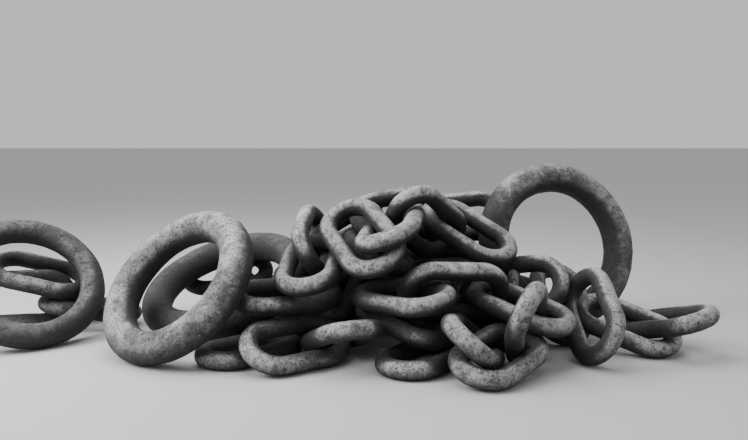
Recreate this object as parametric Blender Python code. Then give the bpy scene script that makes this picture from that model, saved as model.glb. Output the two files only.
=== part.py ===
"""A heap of heavy iron chain: open links, two stud links and four forged rings.

Every piece is a round bar bent into a closed loop, so one loop builder makes them all. Each piece has a
place in the heap, chosen by hand, and then all of them are nestled together until no two bars cross.
Run with: blender --background --python part.py
"""

from collections import namedtuple

import bmesh
import bpy
import numpy as np
from mathutils import Matrix

# Driving dimensions, in metres
LINK_BAR = 0.125
LINK_LENGTH = 0.76
LINK_WIDTH = 0.45
STUD_BAR = 0.07
RING_BAR = 0.226
RING_ACROSS = 1.17
TALL_RING_BAR = 0.23
TALL_RING_ACROSS = 1.28
SLIM_RING_BAR = 0.18
SLIM_RING_ACROSS = 1.08
CLEARANCE = 0.001

# How finely the bars are cut
LINK_SIDES = 8
LINK_ARC_STEPS = 6
RING_SIDES = 10
RING_STEPS = 24

# How long and how firmly the heap is nestled together. The bars swell from a share of their size while
# the pieces spread, and a loop turns about as easily as a weight at TURNING_REACH of its half length.
FIRST_SWELL = 0.3
SWELL_GROWTH = 0.9
TURNING_REACH = 0.75
SPREAD_ROUNDS = 160
SINK_ROUNDS = 80
CLEAR_ROUNDS = 900
SPREAD_FIRMNESS = 0.05
SINK_FIRMNESS = 0.03
DEPTH_FIRMNESS = 0.3
SINK_STEP = 0.001
SHARING = 0.35
UNTANGLE_STEP = 0.008
UNTANGLE_WAY = (0.4, 1, 0.4)
NEIGHBOUR_MARGIN = 0.03
NEIGHBOUR_ROUNDS = 5
ROUNDING = 7

# How light each kind of iron is
LINK_SHADE = 0.2
RING_SHADE = 0.16

Kind = namedtuple("Kind", "length width bar sides steps weight stud")
Place = namedtuple("Place", "name kind x y z heading tilt roll")

# Links that lie out of sight weigh less in the settling, so they give way to those that are seen
BURIED_WEIGHT = 0.2

KINDS = {
    "open": Kind(LINK_LENGTH, LINK_WIDTH, LINK_BAR, LINK_SIDES, LINK_ARC_STEPS, 1.0, False),
    "buried": Kind(LINK_LENGTH, LINK_WIDTH, LINK_BAR, LINK_SIDES, LINK_ARC_STEPS, BURIED_WEIGHT, False),
    "laid": Kind(LINK_LENGTH, LINK_WIDTH, LINK_BAR, LINK_SIDES, LINK_ARC_STEPS, np.inf, False),
    "stud": Kind(LINK_LENGTH, LINK_WIDTH, LINK_BAR, LINK_SIDES, LINK_ARC_STEPS, 1.1, True),
    "ring": Kind(RING_ACROSS, RING_ACROSS, RING_BAR, RING_SIDES, RING_STEPS // 2, 6.0, False),
    "tall": Kind(TALL_RING_ACROSS, TALL_RING_ACROSS, TALL_RING_BAR, RING_SIDES, RING_STEPS // 2, 6.0, False),
    "slim": Kind(SLIM_RING_ACROSS, SLIM_RING_ACROSS, SLIM_RING_BAR, RING_SIDES, RING_STEPS // 2, 5.0, False),
}

# How high a link's centreline is when it lies flat on one of its facets
LAID_HEIGHT = LINK_BAR / 2 * np.cos(np.pi / LINK_SIDES)

# Where each piece lies: its centre in metres, then three turns in degrees. The heading is the way its
# long axis points in plan, the tilt is how far that end rises, and the roll turns it about the long axis.
PLACES = [
    Place("front_ring", "ring", -1.30, -0.39, 0.49, -24, 16, 47),
    Place("second_ring", "tall", -1.09, 0.25, 0.36, -8, 9, 20),
    Place("far_left_ring", "slim", -2.46, -0.02, 0.44, 17, -22, 42),
    Place("right_ring", "tall", 1.38, 0.42, 0.61, 15, -5, 72),
    Place("front_left_link", "open", -0.49, -0.65, 0.14, 39, 2, 27),
    Place("front_left_cross_link", "open", -0.21, -0.61, 0.18, -67, 22, -2),
    Place("left_bridge_link", "open", -0.26, -0.00, 0.33, 71, 26, -12),
    Place("left_prop_link", "open", -0.05, 0.04, 0.23, 39, 7, 40),
    Place("left_flat_link", "open", -0.58, -0.37, 0.38, 18, -5, 14),
    Place("left_low_link", "open", -0.77, 0.08, 0.06, 11, 1, -1),
    Place("left_ground_link", "open", -0.80, -0.47, 0.07, 44, -1, 1),
    Place("upper_left_link", "open", -0.39, -0.09, 0.71, -96, -4, -63),
    Place("upper_left_edge_link", "open", -0.20, 0.31, 0.75, 38, 19, 132),
    Place("ring_side_link", "open", -0.41, -0.34, 0.62, -95, -13, 8),
    Place("crown_left_link", "open", -0.08, -0.43, 0.81, 118, 25, -29),
    Place("crown_back_link", "open", 0.18, 0.15, 0.88, 26, 8, 46),
    Place("crown_arch_link", "open", 0.36, -0.10, 0.85, 48, -34, 127),
    Place("crown_edge_link", "open", 0.11, -0.38, 0.86, 81, 6, -19),
    Place("crown_right_link", "open", 0.65, -0.05, 0.78, -29, -31, 18),
    Place("crown_under_link", "open", 0.03, -0.05, 0.65, -76, -9, -11),
    Place("middle_flat_link", "open", 0.19, -0.60, 0.43, -47, 2, 5),
    Place("middle_back_link", "open", 0.36, -0.12, 0.46, -50, 11, 21),
    Place("middle_stud_link", "stud", 0.51, -0.50, 0.45, 14, 1, 113),
    Place("right_slope_link", "open", 0.93, -0.52, 0.36, -33, -18, 4),
    Place("front_right_link", "open", 0.75, -0.89, 0.14, 49, 9, 16),
    Place("front_right_edge_link", "open", 0.93, -0.79, 0.30, 78, -33, 114),
    Place("front_right_standing_link", "open", 0.61, -0.81, 0.20, 76, -12, 40),
    Place("front_right_inner_link", "open", 0.74, -0.15, 0.06, -6, 0, 0),
    Place("front_middle_upper_link", "open", 0.19, -0.46, 0.23, -45, -9, -12),
    Place("front_middle_ground_link", "open", 0.33, -0.67, 0.06, -124, 0, 0),
    Place("right_standing_link", "open", 1.41, -0.50, 0.31, 93, 31, -60),
    Place("far_right_link", "open", 1.97, -0.32, 0.21, -59, 13, 13),
    Place("far_right_joining_link", "open", 1.70, -0.28, 0.18, -31, -19, 20),
    Place("right_back_link", "open", 1.31, 0.05, 0.28, -98, -35, -18),
    Place("right_stud_link", "stud", 0.98, -0.11, 0.42, -25, 13, 52),
    Place("flat_rest_link", "laid", 0.00, 0.50, LAID_HEIGHT, 20, 0, 0),
]

# Runs of chain that lie under and behind the pieces above: the first link, the way each run goes, and how
# many links it has. Each link is turned a quarter round from the one before, as in any chain.
Run = namedtuple("Run", "name count x y z heading rise roll")
RUNS = [
    Run("base_front", 4, -0.60, 0.18, 0.17, 2, 0, 45),
    Run("base_back", 2, -1.02, 0.62, 0.14, 8, 0, 30),
    Run("base_right", 2, 0.52, 0.76, 0.16, -14, 0, 25),
    Run("inner", 4, -0.45, 0.28, 0.43, 3, 0, 40),
    Run("core", 3, -0.24, 0.46, 0.70, 0, 9, 42),
    Run("back_slope", 3, 0.62, 0.64, 0.36, 176, 4, 35),
    Run("ring_back", 2, -1.22, 0.78, 0.34, 8, 2, 43),
    Run("far_prop", 2, -2.59, 0.24, 0.20, 7, 0, 78),
    Run("far_prop_top", 1, -2.47, 0.24, 0.42, 7, -12, 21),
]
RUN_PITCH = 0.62

# Pieces that are threaded through each other, besides the neighbours in a run
THREADS = [
    ("front_left_link", "front_left_cross_link"),
    ("upper_left_link", "upper_left_edge_link"),
    ("upper_left_link", "ring_side_link"),
    ("crown_left_link", "crown_edge_link"),
    ("crown_edge_link", "crown_arch_link"),
    ("crown_arch_link", "crown_right_link"),
    ("middle_flat_link", "middle_stud_link"),
    ("middle_stud_link", "right_slope_link"),
    ("right_slope_link", "front_right_edge_link"),
    ("front_right_link", "front_right_edge_link"),
    ("front_right_link", "front_right_standing_link"),
    ("far_right_joining_link", "far_right_link"),
]


def turn(heading, tilt, roll):
    """The turn matrix of a piece: roll about its long axis, then tilt, then heading."""
    h, t, r = np.radians([heading, tilt, roll])
    about_z = np.array([[np.cos(h), -np.sin(h), 0], [np.sin(h), np.cos(h), 0], [0, 0, 1]])
    about_y = np.array([[np.cos(t), 0, -np.sin(t)], [0, 1, 0], [np.sin(t), 0, np.cos(t)]])
    about_x = np.array([[1, 0, 0], [0, np.cos(r), -np.sin(r)], [0, np.sin(r), np.cos(r)]])
    return about_z @ about_y @ about_x


def run_places():
    """The links of each run, a chain's pitch apart, with every second one a quarter turn round."""
    places, threads = [], []
    pitch = RUN_PITCH * LINK_LENGTH
    for run in RUNS:
        way = turn(run.heading, run.rise, 0)[:, 0]
        for number in range(run.count):
            x, y, z = np.array([run.x, run.y, run.z]) + way * pitch * number
            roll = run.roll - 90 * (number % 2)
            name = f"{run.name}_link_{number + 1}"
            places.append(Place(name, "buried", x, y, z, run.heading, run.rise, roll))
            if number:
                threads.append((places[-2].name, name))
    return places, threads


def centreline(kind):
    """Points round a loop: two half circles, joined by straight sides where it is longer than wide."""
    radius = (kind.width - kind.bar) / 2
    straight = (kind.length - kind.width) / 2
    angles = np.linspace(-np.pi / 2, np.pi / 2, kind.steps + 1)
    if straight < 1e-6:
        angles = angles[:-1]
    right = np.stack([straight + radius * np.cos(angles), radius * np.sin(angles), 0 * angles], 1)
    return np.concatenate([right, right * (-1, -1, 1)])


def swept(path, bar, sides):
    """The vertices of a round bar along a closed flat path, one ring of them for each path point."""
    along = np.roll(path, -1, axis=0) - np.roll(path, 1, axis=0)
    along /= np.linalg.norm(along, axis=1)[:, None]
    outward = np.stack([along[:, 1], -along[:, 0], 0 * along[:, 0]], 1)
    angles = (np.arange(sides) + 0.5) * 2 * np.pi / sides
    around = np.cos(angles)[None, :, None] * outward[:, None] + np.sin(angles)[None, :, None] * (0, 0, 1)
    return (path[:, None] + around * bar / 2).reshape(-1, 3)


class Piece:
    """One loop of bar, with the segments of its centreline that other pieces have to clear."""

    def __init__(self, place):
        self.name = place.name
        self.kind = KINDS[place.kind]
        self.path = centreline(self.kind)
        self.vertices = swept(self.path, self.kind.bar, self.kind.sides)
        self.starts, self.ends = self.path, np.roll(self.path, -1, axis=0)
        self.radii = np.full(len(self.path), self.kind.bar / 2)
        if self.kind.stud:
            reach = (self.kind.width - self.kind.bar) / 2
            self.starts = np.vstack([self.starts, (0, -reach, 0)])
            self.ends = np.vstack([self.ends, (0, reach, 0)])
            self.radii = np.append(self.radii, STUD_BAR / 2)
        self.at = np.array([place.x, place.y, place.z], float)
        self.turn = turn(place.heading, place.tilt, place.roll)


def nearest_points(a, b, c, d):
    """The nearest points of segments ab and cd, worked out for whole arrays of segments at once."""
    u, v, w = b - a, d - c, a - c
    uu, uv, vv = (u * u).sum(1), (u * v).sum(1), (v * v).sum(1)
    uw, vw = (u * w).sum(1), (v * w).sum(1)
    area = uu * vv - uv * uv
    s = np.where(area > 1e-12, np.clip((uv * vw - vv * uw) / np.maximum(area, 1e-12), 0, 1), 0)
    t = np.clip((uv * s + vw) / vv, 0, 1)
    s = np.clip((uv * t - uw) / uu, 0, 1)
    return a + s[:, None] * u, c + t[:, None] * v


class Heap:
    """All the pieces at once, as arrays: where each is, how it is turned, and what it has to clear."""

    def __init__(self, pieces, threads):
        names = [p.name for p in pieces]
        self.threaded = np.zeros((len(pieces), len(pieces)), bool)
        for one, two in threads:
            self.threaded[names.index(one), names.index(two)] = True
        self.threaded |= self.threaded.T
        self.tangled = np.zeros_like(self.threaded)
        self.pieces = pieces
        self.at = np.array([p.at for p in pieces])
        self.turn = np.array([p.turn for p in pieces])
        self.home, self.home_turn = self.at.copy(), self.turn.copy()
        self.weight = np.array([p.kind.weight for p in pieces])
        reach = np.array([np.abs(p.path).max() for p in pieces])
        self.spin = self.weight * (TURNING_REACH * reach) ** 2
        self.starts = np.concatenate([p.starts for p in pieces])
        self.ends = np.concatenate([p.ends for p in pieces])
        self.radii = np.concatenate([p.radii for p in pieces])
        self.owner = np.repeat(np.arange(len(pieces)), [len(p.starts) for p in pieces])
        self.corners = np.concatenate([p.vertices for p in pieces])
        self.corner_owner = np.repeat(np.arange(len(pieces)), [len(p.vertices) for p in pieces])
        self.reach = np.linalg.norm(self.ends - self.starts, axis=1) / 2 + self.radii

    def placed(self, points, owner):
        """Points of the pieces, moved from each piece's own frame to where it lies."""
        return np.einsum("nij,nj->ni", self.turn[owner], points) + self.at[owner]

    def find_neighbours(self):
        """Pairs of segments of different pieces that are near enough to meet in the next few rounds."""
        middle = self.placed((self.starts + self.ends) / 2, self.owner)
        squares = (middle ** 2).sum(1)
        apart = squares[:, None] + squares[None] - 2 * middle @ middle.T
        near = apart < (self.reach[:, None] + self.reach[None] + NEIGHBOUR_MARGIN) ** 2
        near &= self.owner[:, None] < self.owner[None]
        near &= ~self.tangled[self.owner[:, None], self.owner[None]]
        self.one, self.two = np.nonzero(near)

    def find_tangles(self):
        """Pairs that are threaded but shouldn't be: one's centreline passes once through the other's loop."""
        self.tangled[:] = False
        for i, piece in enumerate(self.pieces):
            radius = (piece.kind.width - piece.kind.bar) / 2
            straight = (piece.kind.length - piece.kind.width) / 2
            for j in range(len(self.pieces)):
                if i == j or self.threaded[i, j]:
                    continue
                reach = (piece.kind.length + self.pieces[j].kind.length) / 2
                if np.linalg.norm(self.at[i] - self.at[j]) > reach:
                    continue
                path = (self.pieces[j].path @ self.turn[j].T + self.at[j] - self.at[i]) @ self.turn[i]
                after = np.roll(path, -1, axis=0)
                side, side_after = path[:, 2] > 0, after[:, 2] > 0
                through = side != side_after
                share = path[through, 2] / (path[through, 2] - after[through, 2])
                point = path[through] + share[:, None] * (after - path)[through]
                beyond = np.maximum(np.abs(point[:, 0]) - straight, 0)
                inside = np.hypot(beyond, point[:, 1]) < radius
                times = np.where(side_after[through], 1, -1)[inside].sum()
                self.tangled[i, j] |= times != 0
        self.tangled |= self.tangled.T

    def untangle(self):
        """Draws each wrongly threaded pair apart, one forward and one back, until they come free."""
        one, two = np.nonzero(np.triu(self.tangled))
        way = (self.at[one] - self.at[two]) * UNTANGLE_WAY
        way /= np.maximum(np.linalg.norm(way, axis=1), 1e-9)[:, None]
        moves = np.zeros_like(self.at)
        np.add.at(moves, one, way * UNTANGLE_STEP / self.weight[one][:, None])
        np.add.at(moves, two, -way * UNTANGLE_STEP / self.weight[two][:, None])
        self.shift(moves, 0 * moves)

    def crossings(self):
        """The deepest place where each two pieces come nearer than their bars and the clearance allow."""
        starts, ends = self.placed(self.starts, self.owner), self.placed(self.ends, self.owner)
        here, there = nearest_points(starts[self.one], ends[self.one], starts[self.two], ends[self.two])
        gap = np.linalg.norm(here - there, axis=1)
        depth = self.swell * (self.radii[self.one] + self.radii[self.two] + CLEARANCE) - gap
        deep = np.nonzero(depth > 0)[0]
        pair = self.owner[self.one[deep]] * len(self.at) + self.owner[self.two[deep]]
        deep = deep[np.lexsort((deep, -depth[deep], pair))]
        pair = self.owner[self.one[deep]] * len(self.at) + self.owner[self.two[deep]]
        deep = deep[np.unique(pair, return_index=True)[1]]
        first, second = self.owner[self.one[deep]], self.owner[self.two[deep]]
        way = (here[deep] - there[deep]) / np.maximum(gap[deep], 1e-9)[:, None]
        return first, second, here[deep], there[deep], way, depth[deep]

    def ease(self, piece, point, way):
        """How easily a push at a point moves a piece, by shifting and by turning it."""
        arm = np.cross(point - self.at[piece], way)
        return 1 / self.weight[piece] + (arm ** 2).sum(1) / self.spin[piece]

    def push_apart(self):
        """Moves and turns crossing pieces away from each other, and lifts what is below the ground."""
        first, second, here, there, way, depth = self.crossings()
        amount = depth / (self.ease(first, here, way) + self.ease(second, there, way))
        corners = self.placed(self.corners, self.corner_owner)
        order = np.lexsort((corners[:, 2], self.corner_owner))
        lowest = order[np.unique(self.corner_owner[order], return_index=True)[1]]
        sunk = lowest[corners[lowest, 2] < 0]
        low, low_piece = corners[sunk], self.corner_owner[sunk]
        up = np.tile([0.0, 0.0, 1.0], (len(sunk), 1))
        lift = -low[:, 2] / self.ease(low_piece, low, up)
        piece = np.concatenate([first, second, low_piece])
        point = np.concatenate([here, there, low])
        way = np.concatenate([way, -way, up])
        amount = np.concatenate([amount, amount, lift])[:, None]
        arm = np.cross(point - self.at[piece], way)
        moves, turns, shares = np.zeros_like(self.at), np.zeros_like(self.at), np.zeros(len(self.at))
        np.add.at(moves, piece, way * amount / self.weight[piece][:, None])
        np.add.at(turns, piece, arm * amount / self.spin[piece][:, None])
        np.add.at(shares, piece, 1)
        share = np.maximum(1 + SHARING * (shares - 1), 1)[:, None]
        self.shift(moves / share, turns / share)
        return max(depth.max(initial=0), -low[:, 2].min(initial=0))

    def shift(self, moves, spins):
        """Moves each piece, turns it by a small amount, and squares up its turn matrix again."""
        matrix = self.turn + np.cross(spins[:, None], self.turn.transpose(0, 2, 1)).transpose(0, 2, 1)
        first = matrix[:, :, 0] / np.linalg.norm(matrix[:, :, 0], axis=1)[:, None]
        third = np.cross(first, matrix[:, :, 1])
        third /= np.linalg.norm(third, axis=1)[:, None]
        self.turn = np.round(np.stack([first, np.cross(third, first), third], 2), ROUNDING)
        self.at = np.round(self.at + moves, ROUNDING)

    def draw_home(self, firm, sink):
        """Draws each piece towards its chosen place, least in depth, and lets it sink a little."""
        difference = self.home_turn @ self.turn.transpose(0, 2, 1)
        spins = np.stack([
            difference[:, 2, 1] - difference[:, 1, 2],
            difference[:, 0, 2] - difference[:, 2, 0],
            difference[:, 1, 0] - difference[:, 0, 1],
        ], 1) / 2
        moves = (self.home - self.at) * (firm, DEPTH_FIRMNESS * firm, firm) - (0, 0, sink)
        loose = np.isfinite(self.weight)[:, None]
        self.shift(moves * loose, spins * firm * loose)

    def nestle(self):
        """Spreads crossing pieces apart near their places, lets them sink together, then clears them."""
        for number in range(SPREAD_ROUNDS + SINK_ROUNDS + CLEAR_ROUNDS):
            self.swell = min(1.0, FIRST_SWELL + SWELL_GROWTH * number / SPREAD_ROUNDS)
            if number % NEIGHBOUR_ROUNDS == 0:
                if number < SPREAD_ROUNDS:
                    self.find_tangles()
                self.find_neighbours()
            if number < SPREAD_ROUNDS:
                self.untangle()
                self.draw_home(SPREAD_FIRMNESS, 0)
            elif number < SPREAD_ROUNDS + SINK_ROUNDS:
                self.draw_home(SINK_FIRMNESS, SINK_STEP)
            worst = self.push_apart()
            if number > SPREAD_ROUNDS + SINK_ROUNDS and worst < CLEARANCE / 2:
                break
        corners = self.placed(self.corners, self.corner_owner)
        starts = np.unique(self.corner_owner, return_index=True)[1]
        lowest = np.minimum.reduceat(corners[:, 2], starts)
        self.at[:, 2] -= np.minimum(lowest, 0)
        return worst


def iron(name, shade):
    """Dark weathered iron, a little lighter or darker from one kind of piece to the next."""
    material = bpy.data.materials.new(name)
    material.use_nodes = True
    surface = material.node_tree.nodes["Principled BSDF"]
    surface.inputs["Base Color"].default_value = (shade, shade * 0.97, shade * 0.93, 1)
    surface.inputs["Roughness"].default_value = 0.6
    surface.inputs["Metallic"].default_value = 0.75
    return material


def loop_mesh(name, vertices, count, sides):
    """Faces between neighbouring rings of vertices, all the way round the loop."""
    mesh = bmesh.new()
    points = [mesh.verts.new(point) for point in vertices]
    for ring in range(count):
        following = (ring + 1) % count
        for side in range(sides):
            beside = (side + 1) % sides
            mesh.faces.new((
                points[ring * sides + side],
                points[following * sides + side],
                points[following * sides + beside],
                points[ring * sides + beside],
            ))
    bmesh.ops.recalc_face_normals(mesh, faces=mesh.faces[:])
    data = bpy.data.meshes.new(name)
    mesh.to_mesh(data)
    mesh.free()
    data.shade_smooth()
    return data


def pose(piece):
    """The matrix that puts a piece from its own frame into the heap."""
    matrix = Matrix(piece.turn.tolist()).to_4x4()
    matrix.translation = piece.at
    return matrix


def stud_guide(piece, matrix):
    """The short bar across a stud link's middle, long enough to run into both of its sides."""
    reach = piece.kind.width - piece.kind.bar
    bpy.ops.mesh.primitive_cylinder_add(vertices=LINK_SIDES, radius=STUD_BAR / 2, depth=reach)
    guide = bpy.context.object
    guide.name = piece.name + "_stud_guide"
    guide.data.transform(Matrix.Rotation(np.pi / 2, 4, "X"))
    guide.matrix_world = matrix
    guide.hide_render = True
    guide.display_type = "WIRE"
    return guide


def build_piece(piece, material):
    """The solid of one piece: its loop of bar, and the stud where it has one."""
    count = len(piece.path)
    mesh = loop_mesh(piece.name, piece.vertices, count, piece.kind.sides)
    mesh.materials.append(material)
    loop = bpy.data.objects.new(piece.name, mesh)
    bpy.context.collection.objects.link(loop)
    loop.matrix_world = pose(piece)
    if piece.kind.stud:
        union = loop.modifiers.new("stud", "BOOLEAN")
        union.operation = "UNION"
        union.object = stud_guide(piece, loop.matrix_world)


def settle_heap():
    """Every piece where it comes to lie, with the whole heap moved so that it is centred on the origin."""
    run_links, run_threads = run_places()
    pieces = [Piece(place) for place in PLACES + run_links]
    heap = Heap(pieces, THREADS + run_threads)
    deepest = heap.nestle()
    corners = heap.placed(heap.corners, heap.corner_owner)
    low, high = corners.min(0), corners.max(0)
    middle = np.round((low + high) / 2, ROUNDING) * (1, 1, 0)
    for number, piece in enumerate(pieces):
        piece.at, piece.turn = heap.at[number] - middle, heap.turn[number]
    print("deepest crossing left, in mm:", round(deepest * 1000, 3))
    print("centred by", middle, "and measures", np.round(high - low, 3))
    return pieces


def main():
    """Clears the scene and builds the heap, one object for each piece."""
    for old in list(bpy.data.objects):
        bpy.data.objects.remove(old)
    for piece in settle_heap():
        shade = LINK_SHADE if piece.kind.length == LINK_LENGTH else RING_SHADE
        build_piece(piece, iron(piece.name + "_iron", shade))


main()
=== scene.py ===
# %% [markdown]
# # A heap of iron chain
#
# The object is a loose heap of very heavy chain, forged from round iron bar as thick as an arm, with four
# large forged rings leaning and standing against it. The imported model already holds every link and ring in
# its place, as a bar with eight or ten flat sides. This script keeps those places and gives each piece the
# round, slightly uneven bar of the real one, with iron that is weathered, pitted and rubbed.
# Some of the shade and the highlights on the bars are painted into the iron's colour as well.

import math
from collections import namedtuple

import bmesh
import bpy
import numpy as np
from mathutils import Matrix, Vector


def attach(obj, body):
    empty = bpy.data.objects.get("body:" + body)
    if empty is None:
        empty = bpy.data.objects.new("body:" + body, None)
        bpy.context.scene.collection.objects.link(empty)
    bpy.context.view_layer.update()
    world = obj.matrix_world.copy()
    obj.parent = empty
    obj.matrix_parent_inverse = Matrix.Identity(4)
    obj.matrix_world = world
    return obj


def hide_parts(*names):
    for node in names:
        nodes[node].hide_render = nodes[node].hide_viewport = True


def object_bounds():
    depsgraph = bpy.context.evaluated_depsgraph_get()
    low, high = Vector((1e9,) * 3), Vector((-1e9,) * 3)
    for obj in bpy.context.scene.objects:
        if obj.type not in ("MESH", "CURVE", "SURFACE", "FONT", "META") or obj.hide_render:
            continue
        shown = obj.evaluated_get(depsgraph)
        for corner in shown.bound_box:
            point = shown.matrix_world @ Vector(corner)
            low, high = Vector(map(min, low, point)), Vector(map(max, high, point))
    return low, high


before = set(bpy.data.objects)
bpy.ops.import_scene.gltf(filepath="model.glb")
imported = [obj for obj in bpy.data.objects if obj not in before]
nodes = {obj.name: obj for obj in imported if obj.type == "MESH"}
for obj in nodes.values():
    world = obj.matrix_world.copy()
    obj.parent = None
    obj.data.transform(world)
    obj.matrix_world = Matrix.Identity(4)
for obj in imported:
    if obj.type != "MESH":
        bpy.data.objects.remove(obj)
cad_box = [list(map(float, corner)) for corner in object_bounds()]
print("pieces in the heap:", len(nodes), "box:", np.round(cad_box, 3).tolist())

# %% [markdown]
# ## Where each piece lies
#
# A link could be measured by hand, but the model knows it better. The corners of a loop of bar spread most
# along the loop's length, less across it, and least through the bar, so the three axes of that spread are
# the link's own axes. Their middle is the link's middle. The flat sides cut the bar a little thinner than
# it is, by the cosine of half a side's angle, and that is put back here.

# %% Measure the loops
LINK_SIDES = 8
RING_SIDES = 10
MERGE_WITHIN = 0.0004

Loop = namedtuple("Loop", "middle axes length width bar")


def is_ring(node):
    """The four rings are named so in the model, and every other loop is a link."""
    return node.endswith("_ring")


def corners_of(node):
    """The corners of a node, each one once: its mesh is loose triangles, so they are merged on a copy."""
    copy = bmesh.new()
    copy.from_mesh(nodes[node].data)
    bmesh.ops.remove_doubles(copy, verts=copy.verts[:], dist=MERGE_WITHIN)
    points = np.array([corner.co[:] for corner in copy.verts])
    copy.free()
    return points


def measure_loop(node):
    """Middle, axes (as rows: along, across, through), length, width and bar of a loop, from its corners."""
    points = corners_of(node)
    middle = points.mean(0)
    spread = (points - middle).T @ (points - middle)
    axes = np.linalg.eigh(spread)[1].T[::-1].copy()
    axes[2] = np.cross(axes[0], axes[1])
    local = (points - middle) @ axes.T
    low, high = local.min(0), local.max(0)
    if is_ring(node):
        bar = high[2] - low[2]
        reach = np.hypot(local[:, 0], local[:, 1]).max()
        across = 2 * reach + bar * (1 - math.cos(math.pi / RING_SIDES))
        return Loop(middle, axes, across, across, bar)
    shrunk = math.cos(math.pi / LINK_SIDES)
    bar = (high[2] - low[2]) / shrunk
    length, width = (high - low)[:2] + bar * (1 - shrunk)
    return Loop(middle, axes, length, width, bar)


loops = {node: measure_loop(node) for node in sorted(nodes)}
for node in ("front_ring", "front_left_link", "middle_stud_link"):
    print(node, "length, width, bar:", np.round(loops[node][2:], 4))

# %% [markdown]
# ## The camera
#
# The heap was seen from a standing eye, a little above its top, with the lens tipped gently down until the
# horizon stood above the middle of the picture. One link lies flat on the ground in the middle of the heap,
# and its middle serves as the mark that the distance is taken from.

# %% Place the camera
BACK_FROM_MARK = 6.1
EYE_HEIGHT = 1.48
FOCAL_PIXELS = 800
PICTURE_WIDTH_PIXELS = 748
HORIZON_ABOVE_MIDDLE_PIXELS = 90
SENSOR_WIDTH_MM = 36.0


def add_object(name, data):
    """Puts data into the scene as an object at the origin."""
    added = bpy.data.objects.new(name, data)
    bpy.context.scene.collection.objects.link(added)
    return added


mark = loops["flat_rest_link"].middle
camera_data = bpy.data.cameras.new("camera")
camera_data.sensor_width = SENSOR_WIDTH_MM
camera_data.lens = FOCAL_PIXELS / PICTURE_WIDTH_PIXELS * SENSOR_WIDTH_MM
camera = add_object("camera", camera_data)
camera.location = (mark[0], mark[1] - BACK_FROM_MARK, EYE_HEIGHT)
tip_down = math.atan(HORIZON_ABOVE_MIDDLE_PIXELS / FOCAL_PIXELS)
camera.rotation_euler = (math.pi / 2 - tip_down, 0, 0)
bpy.context.scene.camera = camera
print("camera at", np.round(camera.location[:], 3), "tipped down by", np.round(tip_down, 3))

# %% [markdown]
# ## Uneven surfaces
#
# Forged iron is never quite even: hammers leave broad shallow flats, and scale and rust leave smaller
# lumps. Both come from smooth noise. Random values stand on a grid, and a point between them takes a blend
# of its eight neighbours. The blend follows a smoothstep curve, so there are no creases where cells meet.

# %% Smooth noise
GRID = 32


def lumps(points, size, seed):
    """Noise from -1 to 1 with lumps of a given size: random grid values, blended by smoothstep weights."""
    values = np.random.default_rng(seed).uniform(-1, 1, (GRID, GRID, GRID))
    place = points / size
    cell = np.floor(place).astype(int)
    share = place - cell
    share = share * share * (3 - 2 * share)
    total = np.zeros(points.shape[:-1])
    for corner in np.ndindex(2, 2, 2):
        weight = np.where(corner, share, 1 - share).prod(-1)
        x, y, z = np.moveaxis((cell + corner) % GRID, -1, 0)
        total += weight * values[x, y, z]
    return total


row = np.linspace((0, 0, 0), (1, 0, 0), 6)
print("lumps along a metre of iron:", np.round(lumps(row, size=0.2, seed=1), 2).tolist())

# %% [markdown]
# ## A loop of round bar
#
# A torus primitive would do for a ring, but not for a link, which has straight sides. One path serves both:
# two half circles joined by two straights, which shrink to nothing on a ring. The bar is a circle carried
# along the path. Its radius changes a little from place to place, and it is worn thinner inside each end of
# a link, where the next link has been pulling.

# %% The path of a loop


def path_lengths(loop):
    """Radius of the two half circles, length of each, and length of each straight between them."""
    radius = (loop.width - loop.bar) / 2
    return radius, math.pi * radius, max(loop.length - loop.width, 0)


def loop_path(loop, count):
    """Points spread evenly along the centreline, with the direction outwards at each, both as rows.

    The distance travelled is shared between four stretches. The angle grows along the two half circles and
    rests along the straights, and the straights carry the point back and then forward.
    """
    radius, arc, straight = path_lengths(loop)
    travelled = np.arange(count) / count * 2 * (arc + straight)
    turned = np.clip(travelled, 0, arc) + np.clip(travelled - arc - straight, 0, arc)
    angle = turned / radius - math.pi / 2
    back = np.clip(travelled - arc, 0, straight)
    forward = np.clip(travelled - 2 * arc - straight, 0, straight)
    outward = np.stack([np.cos(angle), np.sin(angle), 0 * angle], 1)
    centre = np.stack([straight / 2 - back + forward, 0 * angle, 0 * angle], 1)
    return centre + radius * outward, outward


for node in ("front_ring", "front_left_link"):
    print(node, "half circle and straight:", np.round(path_lengths(loops[node])[1:], 3))

# %% The bar round the path
BAR_FULLNESS = 0.962
BROAD_LUMPS = 0.024
BROAD_SIZE_IN_BARS = 0.9
SMALL_LUMPS = 0.013
SMALL_SIZE_IN_BARS = 0.25
END_WEAR = 0.045


def bar_surface(loop, steps, sides, seed):
    """A grid of points round a bar: path + r (outward cos a + through sin a), with r slightly uneven.

    Inside a link's ends, r loses END_WEAR times the square of how far the point is round the end, times the
    square of how far it faces inwards.
    """
    path, outward = loop_path(loop, steps)
    around = np.arange(sides) / sides * 2 * math.pi
    spoke = outward[:, None] * np.cos(around)[None, :, None] + np.sin(around)[None, :, None] * (0, 0, 1)
    round_bar = path[:, None] + spoke * loop.bar / 2
    fullness = BAR_FULLNESS + BROAD_LUMPS * lumps(round_bar, BROAD_SIZE_IN_BARS * loop.bar, seed)
    fullness = fullness + SMALL_LUMPS * lumps(round_bar, SMALL_SIZE_IN_BARS * loop.bar, seed + 1)
    if loop.length > loop.width:
        past_straight = np.abs(path[:, 0]) - (loop.length - loop.width) / 2
        at_end = np.clip(past_straight, 0, None) / (loop.width / 2)
        inside = np.clip(-np.cos(around), 0, 1) ** 2
        fullness = fullness - END_WEAR * at_end[:, None] ** 2 * inside[None]
    local = path[:, None] + spoke * fullness[..., None] * loop.bar / 2
    return local @ loop.axes + loop.middle


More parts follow.
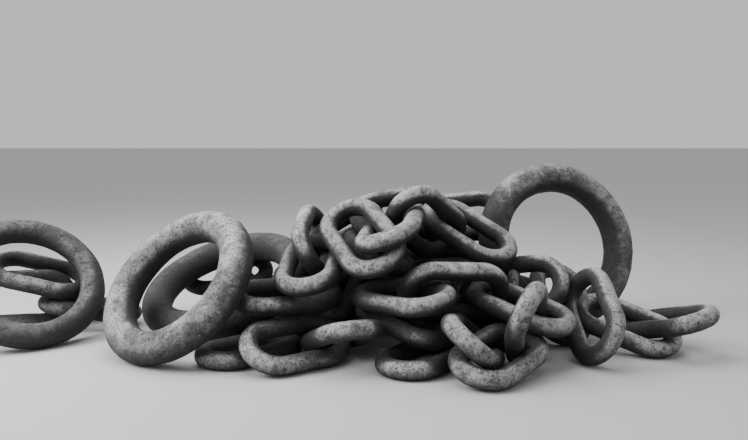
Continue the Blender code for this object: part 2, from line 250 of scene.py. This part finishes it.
thickest = BAR_FULLNESS + BROAD_LUMPS + SMALL_LUMPS
thinnest = BAR_FULLNESS - BROAD_LUMPS - SMALL_LUMPS - END_WEAR
print("bars are from", round(thinnest, 3), "to", round(thickest, 3), "of the packed bar's thickness")

# %% [markdown]
# ## What the weather and the light reach
#
# Rain, sun and wear reach the tops of the bars, and dirt and rust stay in the crevices; light too falls most
# on the tops and least in the crevices. So each point of the surface gets two numbers, and the colours made
# from them paint that light and shade as well as the weather. Shelter adds up how much of its view is filled
# by the bars near it: each short stretch of bar fills its width times its length over the square of its
# distance, and less the further it lies to the side. Shelter is slow to work out, so it is found on every
# fourth point and blended between. Sky is how far the surface faces upwards, cut down by its shelter.

# %% Stretches of bar that give shelter
STRETCH = 0.03

bar_points = []
bar_widths = []
for loop in loops.values():
    run = 2 * sum(path_lengths(loop)[1:])
    path = loop_path(loop, int(run / STRETCH))[0]
    bar_points.append(path @ loop.axes + loop.middle)
    bar_widths.append(np.full(len(path), loop.bar))
bar_points = np.concatenate(bar_points)
bar_widths = np.concatenate(bar_widths)
print("stretches of bar that can give shelter:", len(bar_points))

# %% Shelter from the bars nearby
NEAREST_IN_BARS = 0.6
# The ground under a face that looks down adds to its shelter: painted shade under the low bars, and splashed
# dirt as well.
GROUND_SHARE = 0.5
GROUND_FADE = 0.25
COARSE = 4


def surface_normals(grid):
    """Normals of a closed grid: the steps along it cross the steps around it, which points outwards."""
    along = np.roll(grid, -1, 0) - np.roll(grid, 1, 0)
    around = np.roll(grid, -1, 1) - np.roll(grid, 1, 1)
    normal = np.cross(along, around)
    return normal / np.linalg.norm(normal, axis=-1, keepdims=True)


def shelter_of(points, normals, bar):
    """How much of the view from each point is filled, from 0 to 1, by bars and by the ground below it.

    A stretch of bar fills width * length * cosine / distance^2 of the view, whose whole is pi, and counts
    as no nearer than NEAREST_IN_BARS bars. The ground counts for a point that faces down, by how far it
    faces down times e^(-height / GROUND_FADE).
    """
    way = bar_points[None] - points[:, None]
    distance = np.linalg.norm(way, axis=-1)
    ahead = np.clip((way * normals[:, None]).sum(-1) / distance, 0, 1)
    spaced = np.maximum(distance, bar * NEAREST_IN_BARS)
    filled = (ahead * bar_widths * STRETCH / spaced ** 2).sum(1) / math.pi
    ground = np.clip(-normals[:, 2], 0, 1) * np.exp(-points[:, 2] / GROUND_FADE)
    return np.clip(filled + GROUND_SHARE * ground, 0, 1)


def more_rows(coarse):
    """The rows of a closed grid of values, with evenly blended rows between them: COARSE times as many."""
    share = np.arange(COARSE)[:, None] / COARSE
    finer = coarse[:, None] * (1 - share) + np.roll(coarse, -1, 0)[:, None] * share
    return finer.reshape(-1, coarse.shape[1])


def spread_out(coarse):
    """A coarse closed grid of values blended up to the fine one: first along it and then around it."""
    return more_rows(more_rows(coarse).T).T


# %% [markdown]
# ## Putting a loop together
#
# The grid of points becomes a mesh in one go, with four-sided faces that close up along the bar and around
# it. Every point stays inside the box of the imported model, so where a bar meets the ground it gets the
# small flat that its weight would press into it. The mesh keeps four numbers at each point for the
# materials: shelter, sky, a tone that differs from piece to piece, and how far the whole piece is darkened,
# which is painted shade on some rings and dull iron elsewhere. Near the ground the sky counts less, most of
# all on the rings, which paints shade there and stands for splashed mud as well.

# %% From points to a mesh


def grid_faces(steps, sides, joined):
    """Rows of four corner numbers for a grid that closes around, and along too if joined."""
    rows = steps if joined else steps - 1
    step, side = np.meshgrid(np.arange(rows), np.arange(sides), indexing="ij")
    next_step, next_side = (step + 1) % steps, (side + 1) % sides
    corners = [step * sides + side, step * sides + next_side]
    corners += [next_step * sides + next_side, next_step * sides + side]
    return np.stack(corners, -1).reshape(-1, 4)


def make_mesh(name, points, faces, values):
    """A smooth mesh from rows of points and rows of corner numbers, with one float attribute per value."""
    mesh = bpy.data.meshes.new(name)
    mesh.vertices.add(len(points))
    mesh.vertices.foreach_set("co", points.astype(np.float32).ravel())
    mesh.loops.add(faces.size)
    mesh.loops.foreach_set("vertex_index", faces.astype(np.int32).ravel())
    mesh.polygons.add(len(faces))
    mesh.polygons.foreach_set("loop_start", np.arange(0, faces.size, faces.shape[1], dtype=np.int32))
    mesh.polygons.foreach_set("use_smooth", np.ones(len(faces), bool))
    for label, numbers in values.items():
        attribute = mesh.attributes.new(label, "FLOAT", "POINT")
        attribute.data.foreach_set("value", numbers.astype(np.float32))
    mesh.update()
    mesh.validate()
    return mesh


# %% Make one loop
LINK_STEPS = 140
LINK_AROUND = 40
RING_STEPS = 280
RING_AROUND = 72
OPEN_SKY = 1.25
SKY_LOST_TO_SHELTER = 0.95
# Near the ground the sky counts less, which darkens the iron there: painted shade near the ground, and
# splashed mud as well.
SHADE_AND_SPLASH_HEIGHT = 0.33
SHADE_AND_SPLASH_ON_RINGS = 0.55
SHADE_AND_SPLASH_ON_LINKS = 0.1
# Some rings are darkened as a whole: painted shade where a ring lies in shade, and duller iron as well.
# Links are darkened at random.
RING_SHADE_AND_DULLNESS = {"second_ring": 0.8, "far_left_ring": 0.6, "right_ring": 0.2}
DULL_LINKS = 0.3


def sky_over(grid, normals, shelter, shade_and_splash):
    """Sky from 0 to 1: how far up the surface faces, cut down by shelter and, near the ground, for painted
    shade and splashed mud.
    """
    sky = (0.5 + 0.5 * normals[..., 2]) * np.clip(OPEN_SKY - SKY_LOST_TO_SHELTER * shelter, 0, 1)
    return sky * (1 - shade_and_splash * np.exp(-grid[..., 2] / SHADE_AND_SPLASH_HEIGHT))


def loop_piece(node, seed):
    """The object of one link or ring, at the origin, with its place in its mesh."""
    ring = is_ring(node)
    loop = loops[node]
    steps, sides = (RING_STEPS, RING_AROUND) if ring else (LINK_STEPS, LINK_AROUND)
    grid = bar_surface(loop, steps, sides, seed)
    normals = surface_normals(grid)
    near, facing = grid[::COARSE, ::COARSE], normals[::COARSE, ::COARSE]
    coarse = shelter_of(near.reshape(-1, 3), facing.reshape(-1, 3), loop.bar).reshape(near.shape[:2])
    shelter = spread_out(coarse)
    sky = sky_over(grid, normals, shelter, SHADE_AND_SPLASH_ON_RINGS if ring else SHADE_AND_SPLASH_ON_LINKS)
    points = np.clip(grid.reshape(-1, 3), cad_box[0], cad_box[1])
    faces_outwards = grid_faces(steps, sides, joined=True)[:, ::-1]
    tone, luck = np.random.default_rng(seed).uniform(size=2)
    dull = RING_SHADE_AND_DULLNESS.get(node, 0) if ring else DULL_LINKS * luck
    values = {"shelter": shelter.ravel(), "sky": sky.ravel()}
    values["tone"], values["dull"] = np.full(len(points), tone), np.full(len(points), dull)
    return add_object(node + "_bar", make_mesh(node + "_bar", points, faces_outwards, values))


# %% Build every loop
SEEDS_APART = 10

pieces = {}
for number, node in enumerate(loops):
    pieces[node] = loop_piece(node, SEEDS_APART * number)
triangles = sum(2 * len(piece.data.polygons) for piece in pieces.values())
print("loops made:", len(pieces), "triangles:", triangles)

# %% [markdown]
# ## The studs
#
# Two of the links in sight have a stud, a short bar set across the middle to keep the sides from being
# drawn together. It is thin in its middle and swells where it is jammed against the link. A bar of that
# outline is turned about the line across the link, and its ends stay hidden inside the sides.

# %% Make the studs
STUD_BAR = 0.07
STUD_STEPS = 40
STUD_AROUND = 28
STUD_SWELL = 0.55
STUD_SWELL_POWER = 5
STUD_TIP = 0.0005
STUD_TIP_MERGE = 0.0002
STUD_LUMPS = 0.0012
STUD_LUMP_SIZE = 0.03
STUD_SKY = 0.8
STUD_SHADE_AND_WEATHER = {"shelter": 0.3, "tone": 0.3, "dull": 0.3}
STUD_SEED = 7


def close_ends(piece):
    """Merges the tips of a stud into closed ends and turns all its faces outwards."""
    shape = bmesh.new()
    shape.from_mesh(piece.data)
    bmesh.ops.remove_doubles(shape, verts=shape.verts[:], dist=STUD_TIP_MERGE)
    bmesh.ops.holes_fill(shape, edges=shape.edges[:])
    bmesh.ops.recalc_face_normals(shape, faces=shape.faces[:])
    shape.to_mesh(piece.data)
    shape.free()


def stud_piece(node):
    """A stud: a circle carried across its link, along u from -1 to 1, and brought to a point at its tips.

    Its radius is STUD_BAR / 2 times 1 + STUD_SWELL |u|^STUD_SWELL_POWER.
    """
    loop = loops[node]
    share = np.linspace(-1, 1, STUD_STEPS)
    line = share * path_lengths(loop)[0]
    around = np.arange(STUD_AROUND) / STUD_AROUND * 2 * math.pi
    radius = STUD_BAR / 2 * (1 + STUD_SWELL * np.abs(share) ** STUD_SWELL_POWER)
    radius[[0, -1]] = STUD_TIP
    local = np.zeros((STUD_STEPS, STUD_AROUND, 3))
    local[..., 0] = radius[:, None] * np.cos(around)
    local[..., 1] = line[:, None]
    local[..., 2] = radius[:, None] * np.sin(around)
    local += STUD_LUMPS * lumps(local, STUD_LUMP_SIZE, STUD_SEED)[..., None]
    grid = local @ loop.axes + loop.middle
    # A stud's sky grows from its underside to its top, which paints it lighter on top and darker below:
    # painted top light and underside shade, as well as weather.
    upward = grid[..., 2] - (line[:, None] * loop.axes[1, 2] + loop.middle[2])
    sky = 0.5 + 0.5 * np.clip(upward / (STUD_BAR / 2), -1, 1)
    values = {label: np.full(sky.size, level) for label, level in STUD_SHADE_AND_WEATHER.items()}
    values["sky"] = STUD_SKY * sky.ravel()
    name = node.replace("_link", "") + "_crossbar"
    faces = grid_faces(STUD_STEPS, STUD_AROUND, joined=False)
    piece = add_object(name, make_mesh(name, grid.reshape(-1, 3), faces, values))
    close_ends(piece)
    return piece


studs = {node: stud_piece(node) for node in loops if "_stud_" in node}
print("studs:", sorted(piece.name for piece in studs.values()))

# %% [markdown]
# ## Arithmetic on node sockets
#
# A material is worked out from sums of patterns. Written as Python expressions they stay readable, so a
# small class stands for one socket, and each operator on it adds the Math node that does the sum. A second
# class stands for the material, and has one method that adds a node of any kind.

# %% Wires between nodes


class Wire:
    """One output socket of a node. Python's operators on it add Math nodes."""

    def __init__(self, finish, socket):
        self.finish = finish
        self.socket = socket

    def combine(self, operation, first, second):
        """Adds the Math node of one operation."""
        return self.finish.node("ShaderNodeMath", {"operation": operation}, {0: first, 1: second})

    def __add__(self, other):
        return self.combine("ADD", self, other)

    def __sub__(self, other):
        return self.combine("SUBTRACT", self, other)

    def __rsub__(self, other):
        return self.combine("SUBTRACT", other, self)

    def __mul__(self, other):
        return self.combine("MULTIPLY", self, other)

    __radd__ = __add__
    __rmul__ = __mul__


# %% A material under construction
# A Mix node's colour sockets share their names with its other sockets, so they go by their numbers.
MIX_FACTOR, MIX_FIRST_COLOUR, MIX_SECOND_COLOUR, MIX_COLOUR_OUT = 0, 6, 7, 2


class Finish:
    """A material under construction, with one method that adds any node and a few that are used often."""

    def __init__(self, name):
        self.material = bpy.data.materials.new(name)
        self.material.use_nodes = True
        self.tree = self.material.node_tree
        self.surface = self.tree.nodes["Principled BSDF"]

    def node(self, kind, settings, sockets, output=0):
        """Adds a node, sets its settings first and then the values or links of its sockets."""
        added = self.tree.nodes.new(kind)
        for name, value in settings.items():
            setattr(added, name, value)
        self.feed(added, sockets)
        return Wire(self, added.outputs[output])

    def feed(self, node, sockets):
        """Gives each named or numbered input socket of a node its value, or its link from a wire."""
        for name, value in sockets.items():
            if isinstance(value, Wire):
                self.tree.links.new(value.socket, node.inputs[name])
            else:
                node.inputs[name].default_value = value

    def reading(self, name):
        """A float attribute of the mesh."""
        return self.node("ShaderNodeAttribute", {"attribute_name": name}, {}, "Fac")

    def noise(self, scale, detail, roughness, shift):
        """Noise from 0 to 1 in space, which the shift changes from one piece to the next."""
        place = self.node("ShaderNodeTexCoord", {}, {}, "Object")
        sockets = {"Vector": place, "W": shift, "Scale": scale, "Detail": detail, "Roughness": roughness}
        return self.node("ShaderNodeTexNoise", {"noise_dimensions": "4D"}, sockets, "Fac")

    def step(self, value, low, high):
        """A smooth step from 0 where the value is low to 1 where it is high."""
        sockets = {"Value": value, "From Min": low, "From Max": high}
        return self.node("ShaderNodeMapRange", {"interpolation_type": "SMOOTHSTEP"}, sockets, "Result")

    def blend(self, share, first, second):
        """Two colours mixed by a share from 0 to 1."""
        sockets = {MIX_FACTOR: share, MIX_FIRST_COLOUR: first, MIX_SECOND_COLOUR: second}
        return self.node("ShaderNodeMix", {"data_type": "RGBA"}, sockets, MIX_COLOUR_OUT)


# %% [markdown]
# ## Weathered iron, with painted shade and highlights
#
# The iron is nearly black underneath and a dull grey where the weather reaches it, and this paints shade on
# the undersides and light on the tops as well. Several marks lie over that: broad patches of paler oxide,
# dark blotches where scale is left, light specks where flakes have come off, and pits that stay dark. The
# tops of the bars are rubbed, so they are lightest and shine a little; their pale colour is partly wear and
# partly a painted highlight. Sheltered places turn dark and rusty, which is rust in the hollows and painted
# shade as well, and some whole rings are darkened, partly with painted shade and partly as duller iron. A
# picture could be wrapped round the bars, but noise in space needs no seams and never repeats. The rings are
# darker than the links between their patches.

# %% Greys of the iron
IRON_WARMTH = 0.03
UPPER_WARMTH = 0.02
PALE_WARMTH = 0.01
RUST_WARMTH = 0.06
BLUE_LOST = 1.6


def grey(value, warmth=IRON_WARMTH):
    """A grey with a trace of brown in it: a little more red, and BLUE_LOST times as much less blue."""
    return (value * (1 + warmth), value, value * (1 - BLUE_LOST * warmth), 1)


# The black and brown underneath are partly painted shade on the undersides.
BLACK_UNDERNEATH = grey(0.007)
BROWN_UNDERNEATH = grey(0.024)
# Bare iron colours the specks and the rubbed tops; on the tops it is partly a painted highlight.
BARE_IRON_AND_HIGHLIGHT = grey(0.55, PALE_WARMTH)
DARK_SCALE = grey(0.045)
PIT_DIRT = grey(0.025)
# The crevices are drawn towards a dark rust: rust in the hollows, and painted shade as well.
CREVICE_SHADE_AND_RUST = grey(0.012, RUST_WARMTH)
# Whole pieces are drawn towards this dark: painted shade on some rings, and dull iron.
SHADE_AND_DULL_RUST = grey(0.015, RUST_WARMTH)
print("bare iron is", round(BARE_IRON_AND_HIGHLIGHT[1] / DARK_SCALE[1], 1), "times as bright as the scale on it")

# %% Patterns in the iron
# Scale, detail and roughness of each noise, and how far it is shifted from the others.
NOISES = {
    "mottle": (30, 8, 0.72, 0),
    "grain": (95, 3, 0.6, 0),
    "blotches": (11, 8, 0.75, 7),
    "pits": (75, 4, 0.65, 9),
    "specks": (65, 4, 0.65, 5),
}
PATCH_NOISE = (8, 0.7, 0)

# The level at which each mark begins to show, and the level at which it shows in full.
EDGES = {
    "mottle_underneath": (0.38, 0.62),
    "mottle": (0.36, 0.66),
    "grain": (0.40, 0.66),
    "blotches": (0.48, 0.62),
    "patches": (0.44, 0.62),
    "pits": (0.56, 0.63),
    "specks": (0.60, 0.66),
    "weathered": (0.36, 1.00),
    "rubbed": (0.70, 1.20),
    "crevices": (0.30, 0.85),
}
TONE_SHIFT = 40


def iron_noises(finish, tone, patch_scale):
    """Every noise of the iron, shifted by the piece's tone so that no two pieces have the same marks."""
    settings = {**NOISES, "patches": (patch_scale, *PATCH_NOISE)}
    return {
        name: finish.noise(scale, detail, roughness, tone * TONE_SHIFT + apart)
        for name, (scale, detail, roughness, apart) in settings.items()
    }


# %% Mix the iron
# How strongly each mark covers the iron below it, in the order in which they are laid on.
COVER = {"patches": 0.7, "grain": 0.35, "rubbed": 0.55, "blotches": 0.7, "specks": 0.7, "pits": 0.65}

# How far each pattern stands out of the iron, or is sunk into it where the number is below zero.
RELIEF = {"mottle": 0.6, "grain": 0.3, "pits": -0.5, "specks": 0.2, "blotches": -0.5}

UPPER_DARK = 0.25
UPPER_LIGHT = 1.1
UPPER_GRAIN = 1.8
RAGGED_EDGE = 0.25
TONE_IN_WEATHER = 0.08
GRAIN_IN_RUBBING_AND_HIGHLIGHT = 0.3
SHELTER_IN_RUBBING_AND_HIGHLIGHT = 0.6
CREVICE_COVER = 0.8
BUMP_STRENGTH = 1.0
BUMP_HEIGHT = 0.012
ROUGHNESS = 0.70
RUBBED_SMOOTHER = 0.25
GRAIN_ROUGHER = 0.12
RUBBED_METALLIC = 0.6


def iron(name, patch_scale, patch_grey, upper_grey):
    """Iron that is black underneath and paler above, where it is broken up by the marks in COVER; the change
    from below to above is partly painted shade and top light.
    """
    finish = Finish(name)
    tone, dull, shelter, sky = (finish.reading(label) for label in ("tone", "dull", "shelter", "sky"))
    noises = iron_noises(finish, tone, patch_scale)
    mottle, grain, blotches = noises["mottle"], noises["grain"], noises["blotches"]
    # Where the sky reaches, the iron turns from the black underneath to the paler grey above: weather on the
    # tops, and painted top light and underside shade as well.
    reached = sky + mottle * RAGGED_EDGE + blotches * RAGGED_EDGE + tone * TONE_IN_WEATHER
    # The rubbed tops turn to bare iron: wear, and a painted highlight as well.
    on_top = sky + grain * GRAIN_IN_RUBBING_AND_HIGHLIGHT - shelter * SHELTER_IN_RUBBING_AND_HIGHLIGHT
    levels = {**noises, "mottle_underneath": mottle}
    levels.update(weathered=reached, rubbed=on_top, crevices=shelter)
    marks = {mark: finish.step(levels[mark], *edge) for mark, edge in EDGES.items()}
    greys = {
        "patches": grey(patch_grey, PALE_WARMTH),
        "grain": grey(UPPER_GRAIN * upper_grey, PALE_WARMTH),
        "rubbed": BARE_IRON_AND_HIGHLIGHT,
        "blotches": DARK_SCALE,
        "specks": BARE_IRON_AND_HIGHLIGHT,
        "pits": PIT_DIRT,
    }
    under = finish.blend(marks["mottle_underneath"], BLACK_UNDERNEATH, BROWN_UNDERNEATH)
    dark, light = grey(UPPER_DARK * upper_grey), grey(UPPER_LIGHT * upper_grey, UPPER_WARMTH)
    upper = finish.blend(marks["mottle"], dark, light)
    for mark, cover in COVER.items():
        upper = finish.blend(marks[mark] * cover, upper, greys[mark])
    colour = finish.blend(marks["weathered"], under, upper)
    # Sheltered places are drawn towards dark rust: rust in the hollows, and painted shade as well.
    colour = finish.blend(marks["crevices"] * CREVICE_COVER, colour, CREVICE_SHADE_AND_RUST)
    # Whole pieces are darkened by their share: painted shade on some rings, dull iron on the links.
    colour = finish.blend(dull, colour, SHADE_AND_DULL_RUST)
    forms = {**noises, "pits": marks["pits"], "specks": marks["specks"]}
    height = sum(forms[name] * share for name, share in RELIEF.items())
    relief = {"Strength": BUMP_STRENGTH, "Distance": BUMP_HEIGHT, "Height": height}
    finish.feed(finish.surface, {
        "Base Color": colour,
        "Roughness": ROUGHNESS - marks["rubbed"] * RUBBED_SMOOTHER + grain * GRAIN_ROUGHER,
        "Metallic": marks["rubbed"] * (1 - marks["specks"]) * RUBBED_METALLIC,
        "Normal": finish.node("ShaderNodeBump", {}, relief, "Normal"),
    })
    print(name, "is mixed from", len(finish.tree.nodes), "nodes")
    return finish.material


irons = {
    "chain_iron": iron("chain_iron", patch_scale=7.0, patch_grey=0.60, upper_grey=0.36),
    "ring_iron": iron("ring_iron", patch_scale=5.0, patch_grey=0.46, upper_grey=0.13),
}

# %% Dress the pieces


def dress(piece, node, slot):
    """Gives a piece its iron and says what body it rides on, what node it replaces and what slot it has."""
    piece.data.materials.append(irons[slot])
    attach(piece, "root")
    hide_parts(node)


for node, piece in pieces.items():
    dress(piece, node, "ring_iron" if is_ring(node) else "chain_iron")
for node, piece in studs.items():
    dress(piece, node, "chain_iron")
print("pieces dressed:", len(pieces) + len(studs))

# %% [markdown]
# ## Floor and light
#
# The heap stands on a plain pale floor. Most of the light comes from all round, as from an overcast sky,
# so the shadows have no edges. One wide lamp overhead and a stronger one at the left make the tops and the
# left sides of the bars brightest. A sun lamp would be simpler, but its shadows would be too sharp.

# %% A plain pale floor
FLOOR_REACH = 60
FLOOR_GREY = 0.5
FLOOR_ROUGHNESS = 0.9

floor_mesh = bpy.data.meshes.new("floor")
rim = [(x * FLOOR_REACH, y * FLOOR_REACH, 0) for x, y in ((-1, -1), (1, -1), (1, 1), (-1, 1))]
floor_mesh.from_pydata(rim, [], [(0, 1, 2, 3)])
floor = add_object("floor", floor_mesh)
pale = Finish("pale_floor")
pale.feed(pale.surface, {"Base Color": grey(FLOOR_GREY, 0.0), "Roughness": FLOOR_ROUGHNESS})
floor_mesh.materials.append(pale.material)
print("floor reaches", FLOOR_REACH, "m each way")

# %% Overcast sky and softboxes
OVERCAST_GREY = 0.8
OVERCAST_STRENGTH = 0.85


def softbox(name, place, aim, size, power):
    """A square area light at a place, turned towards the point that it lights."""
    light = bpy.data.lights.new(name, "AREA")
    light.size = size
    light.energy = power
    lamp = add_object(name, light)
    lamp.location = place
    x, y, z = np.array(aim) - np.array(place)
    lamp.rotation_euler = (math.atan2(math.hypot(x, y), -z), 0, math.atan2(y, x) - math.pi / 2)
    print("softbox", name, "at", place, "of", power, "W")


softbox("sky", place=(-0.6, 0.6, 5.5), aim=(0, 0, 0.3), size=6.0, power=350)
softbox("left", place=(-5.5, -1.5, 4.5), aim=(0, 0, 0.4), size=4.0, power=620)

world = bpy.data.worlds.new("overcast")
bpy.context.scene.world = world
world.use_nodes = True
background = world.node_tree.nodes["Background"]
background.inputs["Color"].default_value = grey(OVERCAST_GREY, 0.0)
background.inputs["Strength"].default_value = OVERCAST_STRENGTH
